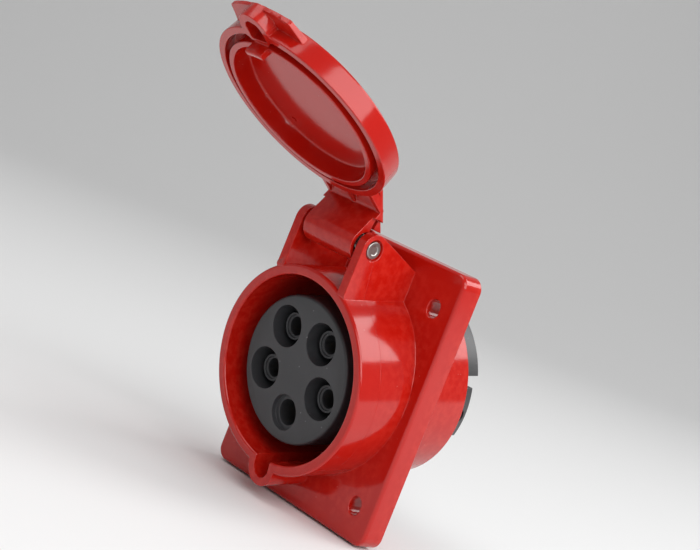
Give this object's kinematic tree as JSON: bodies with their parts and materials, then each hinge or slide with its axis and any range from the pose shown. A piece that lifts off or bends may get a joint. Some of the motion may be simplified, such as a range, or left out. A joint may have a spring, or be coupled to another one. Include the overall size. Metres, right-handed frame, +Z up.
{
  "type": "industrial panel socket",
  "caption": "Angled red panel socket with a rectangular flange, a round collar with a keyway, a dark five-hole insert and a hinged spring lid standing open.",
  "frame": {"origin": "centre of the flange's back plane, where it lies on the panel", "axes": "+Y points into the panel and the front looks along -Y, +Z is up, +X to the viewer's right from the front"},
  "size_m": [0.08, 0.1335, 0.1531],
  "materials": {
    "housing_plastic": "deep red glossy moulded polyamide",
    "lid_plastic": "deep red glossy moulded polyamide, satin inside",
    "seal_rubber": "black rubber",
    "insert_plastic": "dark grey satin moulded plastic",
    "carrier_plastic": "grey satin moulded plastic",
    "contact_brass": "turned brass",
    "pin_steel": "riveted plain steel",
    "spring_steel": "drawn spring wire",
    "screw_steel": "zinc-plated steel"
  },
  "bodies": {
    "socket": {"housing": "housing_plastic", "flange_seal": "seal_rubber", "contact_insert": "insert_plastic", "terminal_carrier": "carrier_plastic", "contact_pe": "contact_brass", "contact_n": "contact_brass", "contact_l1": "contact_brass", "contact_l2": "contact_brass", "contact_l3": "contact_brass", "spring_ring_pe": "spring_steel", "spring_ring_n": "spring_steel", "spring_ring_l1": "spring_steel", "spring_ring_l2": "spring_steel", "spring_ring_l3": "spring_steel", "line_terminal_screws": "screw_steel", "pe_terminal_screw": "screw_steel", "carrier_screws": "screw_steel", "hinge_pin": "pin_steel"},
    "cover": {"lid": "lid_plastic", "lid_spring": "spring_steel"}
  },
  "joints": [
    {"name": "lid_hinge", "type": "hinge", "parent": "socket", "child": "cover", "pos_m": [0, -0.03089, 0.04528], "axis": [1, 0, 0], "range_deg": [-20, 131.2], "deforming": ["lid_spring"]}
  ]
}
